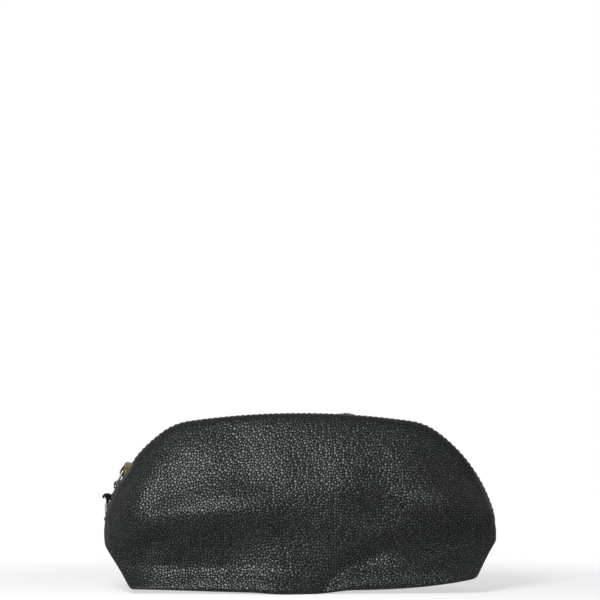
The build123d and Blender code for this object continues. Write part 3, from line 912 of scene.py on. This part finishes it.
class Look:
    """A procedural material: a shader, and a short way to add the nodes that feed it."""

    def __init__(self, name, **settings):
        self.material = bpy.data.materials.new(name)
        self.material.use_nodes = True
        self.tree = self.material.node_tree
        self.shader = self.tree.nodes["Principled BSDF"]
        for socket, value in settings.items():
            self.shader.inputs[socket.replace("_", " ")].default_value = value
        self.place = self.add("ShaderNodeTexCoord").outputs["Object"]

    def add(self, kind, inputs=None, **settings):
        """A node in this material."""
        return add_node(self.tree, kind, inputs, **settings)

    def math(self, operation, a, b):
        """Two values put together."""
        return self.add("ShaderNodeMath", {0: a, 1: b}, operation=operation).outputs[0]

    def value_of(self, name):
        """The number painted on the piece under this name."""
        return self.add("ShaderNodeAttribute", attribute_name=name).outputs["Fac"]

    def stretched(self, scale):
        """The object's coordinates, scaled along each axis."""
        return self.add("ShaderNodeMapping", {"Vector": self.place, "Scale": scale}).outputs[0]

    def noise(self, scale, detail=2.0, where=None, rough=0.5):
        """Cloudy noise, from 0 to 1."""
        inputs = {"Vector": where or self.place, "Scale": scale, "Detail": detail, "Roughness": rough}
        return self.add("ShaderNodeTexNoise", inputs).outputs["Fac"]

    def wave(self, scale, axis, where, distort):
        """Parallel bands across an axis, from 0 to 1."""
        inputs = {"Vector": where, "Scale": scale, "Distortion": distort}
        return self.add("ShaderNodeTexWave", inputs, bands_direction=axis).outputs["Fac"]

    def ramp(self, value, low, high, to_low=0.0, to_high=1.0):
        """A value stretched from one range to another, with smooth ends."""
        inputs = {"Value": value, "From Min": low, "From Max": high, "To Min": to_low, "To Max": to_high}
        return self.add("ShaderNodeMapRange", inputs, interpolation_type="SMOOTHSTEP").outputs[0]

    def colours(self, share, first, second):
        """A colour between two others."""
        inputs = {0: share, 6: (*first, 1), 7: (*second, 1)}
        return self.add("ShaderNodeMix", inputs, data_type="RGBA").outputs[2]

    def feed(self, socket, value):
        """Leads a value to the shader."""
        self.tree.links.new(value, self.shader.inputs[socket])

    def relief(self, height, depth, strength=1.0, under=None):
        """A bump of this depth in millimetres, over another bump if there is one."""
        inputs = {"Height": height, "Distance": depth * MM, "Strength": strength}
        if under is not None:
            inputs["Normal"] = under
        return self.add("ShaderNodeBump", inputs).outputs[0]


def shade(colour, factor):
    """A colour made darker or lighter."""
    return tuple(factor * part for part in colour)


def on_hide(look, cut):
    """Places on the leather as it was cut, or else in the piece's own directions, a little shifted."""
    hide = look.place
    if cut:
        across, up = [look.value_of(name) for name in ("cut_x", "cut_z")]
        hide = look.add("ShaderNodeCombineXYZ", {"X": across, "Y": up}).outputs[0]
    drift = look.add("ShaderNodeTexNoise", {"Vector": hide, "Scale": 260.0, "Detail": 1.0}).outputs["Color"]
    inputs = {0: drift, 1: (0.5, 0.5, 0.5)}
    shift = look.add("ShaderNodeVectorMath", inputs, operation="SUBTRACT").outputs[0]
    small = look.add("ShaderNodeVectorMath", {0: shift, "Scale": 1.0 * MM}, operation="SCALE").outputs[0]
    return look.add("ShaderNodeVectorMath", {0: hide, 1: small}, operation="ADD").outputs[0]


def leather_material(name, grain, base, shine, rough, cut=True):
    """Pebbled leather: domed pebbles with painted shade in the creases between them, flatter where it is
    drawn tight at the rim, with a weaker reflection painted there.
    """
    look = Look(name, Specular_IOR_Level=shine)
    where = on_hide(look, cut)
    flat = "2D" if cut else "3D"
    inputs = {"Vector": where, "Scale": 1 / (grain * MM), "Randomness": 1.0}
    cells = look.add("ShaderNodeTexVoronoi", inputs, voronoi_dimensions=flat)
    edges = look.add("ShaderNodeTexVoronoi", inputs, voronoi_dimensions=flat, feature="DISTANCE_TO_EDGE")
    plateau = look.ramp(edges.outputs["Distance"], 0.0, 0.16)
    soft = look.ramp(edges.outputs["Distance"], 0.0, 0.36)
    dome = look.ramp(cells.outputs["Distance"], 0.75, 0.0)
    height = look.math("ADD", look.math("MULTIPLY", dome, 0.8), plateau)
    tight = look.value_of("tight")
    strength = look.ramp(tight, 0.0, 0.9, 1.0, 0.2)
    look.feed("Normal", look.relief(height, 0.15, strength))
    each = look.add("ShaderNodeSeparateColor", {"Color": cells.outputs["Color"]}).outputs["Red"]
    broad = look.ramp(look.noise(22.0, 2.0), 0.35, 0.65, 0.85, 1.15)
    # painted shade: the base colour is darker down in the creases between the pebbles; it also varies at
    # random per pebble and in broad patches
    pale = look.math("MULTIPLY", look.math("MULTIPLY", plateau, look.ramp(each, 0.0, 1.0, 0.6, 1.0)), broad)
    look.feed("Base Color", look.colours(pale, shade(base, 0.2), shade(base, 1.5)))
    # painted shade: the reflection is tinted nearly black down in the creases and dimmer near the rim; it
    # also varies at random per pebble
    gleam_with_painted_shade = look.math("MULTIPLY", soft, look.ramp(each, 0.0, 1.0, 0.75, 1.0))
    gleam_with_painted_shade = look.math("MULTIPLY", gleam_with_painted_shade, look.ramp(tight, 0.0, 0.7, 1.0, 0.35))
    look.feed("Specular Tint", look.colours(gleam_with_painted_shade, (0.02, 0.02, 0.02), (0.92, 0.99, 1.0)))
    rubbed = look.math("MULTIPLY", each, 0.1)
    look.feed("Roughness", look.math("ADD", look.ramp(plateau, 0.0, 1.0, 0.6, rough), rubbed))
    return look.material


def fabric_material(name, base, pitch, turn):
    """A plain weave of crossing threads with painted shade down between them, a little uneven in colour."""
    look = Look(name, Specular_IOR_Level=0.25, Sheen_Weight=0.25, Sheen_Roughness=0.5)
    inputs = {"Vector": look.place, "Angle": turn, "Axis": (0, 1, 0)}
    spun = look.add("ShaderNodeVectorRotate", inputs).outputs[0]
    scale = 1 / (pitch * MM) / 3.2
    warp = look.wave(scale, "X", spun, 0.6)
    weft = look.wave(scale, "Z", spun, 0.6)
    ply = look.wave(scale, "Y", spun, 0.6)
    weave = look.math("MAXIMUM", look.math("MULTIPLY", warp, weft), look.math("MULTIPLY", ply, 0.7))
    look.feed("Normal", look.relief(weave, 0.16, 0.9))
    patch = look.ramp(look.noise(90.0, 3.0), 0.3, 0.7, 0.6, 1.0)
    # painted shade: the colour is darker where the weave lies low between the threads; the patches vary it
    # at random
    share = look.math("MULTIPLY", look.ramp(weave, 0.0, 1.0, 0.35, 1.0), patch)
    look.feed("Base Color", look.colours(share, shade(base, 0.4), shade(base, 1.4)))
    look.feed("Roughness", look.ramp(weave, 0.0, 1.0, 0.95, 0.75))
    return look.material


def thread_material():
    """Twisted sewing thread, with painted shade in the grooves of its twist."""
    look = Look("sewing_thread", Specular_IOR_Level=0.35, Sheen_Weight=0.2)
    twist = look.wave(900.0, "DIAGONAL", look.place, 1.5)
    look.feed("Normal", look.relief(twist, 0.08, 1.0))
    # painted shade: the colour is darker down in the grooves of the twist
    look.feed("Base Color", look.colours(twist, (0.006, 0.006, 0.007), (0.03, 0.03, 0.033)))
    look.feed("Roughness", look.ramp(look.noise(700.0), 0.3, 0.7, 0.45, 0.7))
    return look.material


def metal_material(name, bright, dark, rough, patina):
    """Cast or drawn metal with patina in patches, fine scratches and worn brighter spots."""
    look = Look(name, Metallic=1.0)
    blotch = look.noise(420.0, 4.0, rough=0.6)
    grime = look.ramp(blotch, patina - 0.12, patina + 0.12)
    fleck = look.ramp(look.noise(1500.0, 2.0), 0.55, 0.7, 0.0, 0.5)
    worn = look.math("MAXIMUM", grime, fleck)
    look.feed("Base Color", look.colours(worn, dark, bright))
    scratches = look.noise(300.0, 2.0, look.stretched((1.0, 14.0, 6.0)))
    look.feed("Roughness", look.math("ADD", look.ramp(worn, 0.0, 1.0, rough + 0.25, rough),
                                     look.math("MULTIPLY", scratches, 0.15)))
    under = look.relief(scratches, 0.02, 0.4)
    look.feed("Normal", look.relief(blotch, 0.05, 0.5, under))
    return look.material


# ---- the pieces
PEBBLE = 1.75


def leather_piece(name, side, folds, nodes, material, shaded_rim_material):
    """One half's leather with its turned hem, and a darker, less reflective copy of the leather on the rim
    as painted shade.
    """
    step, spacing = ((0.7, 1.7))
    points, faces, tight, cut, on_rim = shell(side, folds, step, spacing, 0.0, 0.0, True)
    piece = make_piece(name, points, faces, material)
    piece.data.materials.append(shaded_rim_material)
    finish = np.zeros(len(faces), int)
    finish[:len(on_rim)] = on_rim
    piece.data.polygons.foreach_set("material_index", finish)
    paint(piece, "tight", tight)
    paint(piece, "cut_x", cut[:, 0])
    paint(piece, "cut_z", cut[:, 1])
    thicken(piece, LEATHER)
    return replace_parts(piece, *nodes)


def lining_piece(name, side, folds, nodes, material):
    """One half's lining, inside the leather."""
    points, faces, *_ = shell(side, folds, 2.5, 5.0, LINING_INSET, LINING_INNER, False)
    piece = make_piece(name, points, faces, material)
    thicken(piece, LINING)
    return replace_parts(piece, *nodes)


leather = leather_material("pebbled_leather", PEBBLE, (0.0075, 0.008, 0.008), 0.4, 0.32)
# painted shade: the rim's copy of the leather is darker and reflects less, to dim the rolled rim
rim_shaded_leather = leather_material("rim_shaded_leather", PEBBLE, (0.006, 0.006, 0.006), 0.18, 0.4)
strap_leather = leather_material("strap_leather", 0.9, (0.006, 0.006, 0.0065), 0.2, 0.4, cut=False)
lining_cloth = fabric_material("lining_cloth", (0.018, 0.018, 0.02), 0.35, 0.3)
tape_cloth = fabric_material("zipper_tape", (0.014, 0.014, 0.015), 0.5, 0.78)
thread = thread_material()
brass = metal_material("antique_brass", (0.2, 0.175, 0.105), (0.045, 0.038, 0.022), 0.3, 0.5)
nickel = metal_material("pull_metal", (0.34, 0.31, 0.275), (0.09, 0.08, 0.07), 0.26, 0.44)

back_half = leather_piece("back_leather", 1, BACK_FOLDS, ["back_panel"], leather, rim_shaded_leather)
front_half = leather_piece("front_leather", -1, FRONT_FOLDS, ["front_panel", "front_panel_foot"],
                           leather, rim_shaded_leather)
back_inside = lining_piece("back_lining_cloth", 1, BACK_FOLDS, ["back_lining"], lining_cloth)
front_inside = lining_piece("front_lining_cloth", -1, FRONT_FOLDS, ["front_lining", "front_lining_foot"],
                            lining_cloth)
back_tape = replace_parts(tape_piece("back_zipper_tape", 1, tape_cloth), "back_tape")
front_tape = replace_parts(tape_piece("front_zipper_tape", -1, tape_cloth), "front_tape", "front_tape_end")
back_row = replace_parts(teeth_piece("back_tooth_row", 1, FIRST_RUN + TOOTH_PITCH / 2, brass), "back_teeth")
front_row = teeth_piece("front_tooth_row", -1, FIRST_RUN, brass)
front_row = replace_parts(front_row, "front_teeth", "front_teeth_end")
back_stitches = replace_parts(stitch_piece("back_stitches", 1, thread), "back_topstitch")
front_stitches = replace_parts(stitch_piece("front_stitches", -1, thread), "front_topstitch")
bottom_run = SLIDER_RUN - SLIDER_LENGTH / 2 - 0.3 - STOP_LENGTH / 2
bottom_stop = stop_piece("bottom_stop_clip", bottom_run, (1, -1), "bottom_stop", brass)
back_stop = stop_piece("back_top_stop_clip", LAST_RUN + STOP_LENGTH, (1,), "back_top_stop", brass)
front_stop = stop_piece("front_top_stop_clip", LAST_RUN + STOP_LENGTH, (-1,), "front_top_stop", brass)

for standing in (back_half, back_inside, back_tape, back_row, back_stitches, bottom_stop, back_stop):
    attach(standing, "root")
for bending in (front_half, front_inside, front_tape, front_row, front_stitches, front_stop):
    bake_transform(bending)
for cast in (slider_body_piece(brass), slider_crown_piece(brass), slider_lock_piece(brass)):
    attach(cast, "slider")
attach(link_piece(nickel), "pull")
for end in (strap_piece(strap_leather), clip_piece(nickel), tip_piece(nickel)):
    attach(end, "strap")


# ---- stage, light and camera
PALE = 0.92
FLOOR_HALF_SIDE = 12000.0
SHADOW_NEAR, SHADOW_FAR = 0.14, 0.42  # the floor turns plain white between these distances, in metres
WHITE_NEAR = 0.62
LAMP_AIM = Vector((0, 0, HEIGHT / 2 * MM))
FRAME_SIDE = 0.381
SENSOR = 36
CAMERA_DISTANCE = 1.6
CAMERA_PLACE = Vector((0, -CAMERA_DISTANCE, 0.11))
CAMERA_AIM = Vector((0, 0, 0.1838))


def white_where_seen(tree, shader, share):
    """Adds white, for camera, mirror and glass rays, to a share of a material or world shader."""
    path = add_node(tree, "ShaderNodeLightPath")
    seen = path.outputs["Is Camera Ray"]
    for key in ("Is Glossy Ray", "Is Transmission Ray"):
        inputs = {0: seen, 1: path.outputs[key]}
        seen = add_node(tree, "ShaderNodeMath", inputs, operation="MAXIMUM").outputs[0]
    part = add_node(tree, "ShaderNodeMath", {0: seen, 1: share}, operation="MULTIPLY").outputs[0]
    kind = "ShaderNodeBackground" if shader.bl_idname == "ShaderNodeBackground" else "ShaderNodeEmission"
    glow = add_node(tree, kind, {"Color": (1, 1, 1, 1), "Strength": 1.0}).outputs[0]
    return add_node(tree, "ShaderNodeMixShader", {0: part, 1: shader.outputs[0], 2: glow}).outputs[0]


def make_floor():
    """A pale floor: partly white round the bag, so that its shadow stays, and all white far away."""
    pale = Look("pale_floor", Roughness=0.9, Specular_IOR_Level=0.0)
    pale.shader.inputs["Base Color"].default_value = (PALE, PALE, PALE, 1)
    far = pale.add("ShaderNodeVectorMath", {0: pale.place}, operation="LENGTH").outputs["Value"]
    share = pale.ramp(far, SHADOW_NEAR, SHADOW_FAR, WHITE_NEAR, 1.0)
    surface = white_where_seen(pale.tree, pale.shader, share)
    pale.tree.links.new(surface, pale.tree.nodes["Material Output"].inputs[0])
    corners = FLOOR_HALF_SIDE * np.array([(-1, -1, 0), (1, -1, 0), (1, 1, 0), (-1, 1, 0)])
    mesh_object("floor", corners, [(0, 1, 2, 3)], pale.material)


def make_world():
    """Soft light all round, and plain white where it is seen."""
    world = bpy.data.worlds.new("studio")
    world.use_nodes = True
    bpy.context.scene.world = world
    tree = world.node_tree
    shader = tree.nodes["Background"]
    shader.inputs["Color"].default_value = (1, 1, 1, 1)
    shader.inputs["Strength"].default_value = 0.3
    surface = white_where_seen(tree, shader, 1.0)
    tree.links.new(surface, tree.nodes["World Output"].inputs[0])


def point_at(seer, place, target):
    """Sets a lamp or camera at a place, looking at a target."""
    seer.location = place
    seer.rotation_euler = (target - place).to_track_quat("-Z", "Y").to_euler()


def make_lamp(name, place, side, power):
    """A soft square lamp that faces the bag's middle."""
    light = bpy.data.lights.new(name, "AREA")
    light.shape = "SQUARE"
    light.size = side
    light.energy = power
    point_at(add_object(name, light), Vector(place), LAMP_AIM)


def make_camera():
    """A distant camera, tilted up a little so that the bag lies low in a square frame."""
    camera_data = bpy.data.cameras.new("camera")
    camera_data.sensor_width = SENSOR
    camera_data.lens = SENSOR * CAMERA_DISTANCE / FRAME_SIDE
    camera_data.clip_start, camera_data.clip_end = 0.1, 60
    camera = add_object("camera", camera_data)
    point_at(camera, CAMERA_PLACE, CAMERA_AIM)
    bpy.context.scene.camera = camera


bpy.context.scene.view_settings.view_transform = "Standard"
make_floor()
make_world()
make_lamp("key", (-0.16, -0.56, 0.36), 0.22, 5.8)
make_camera()
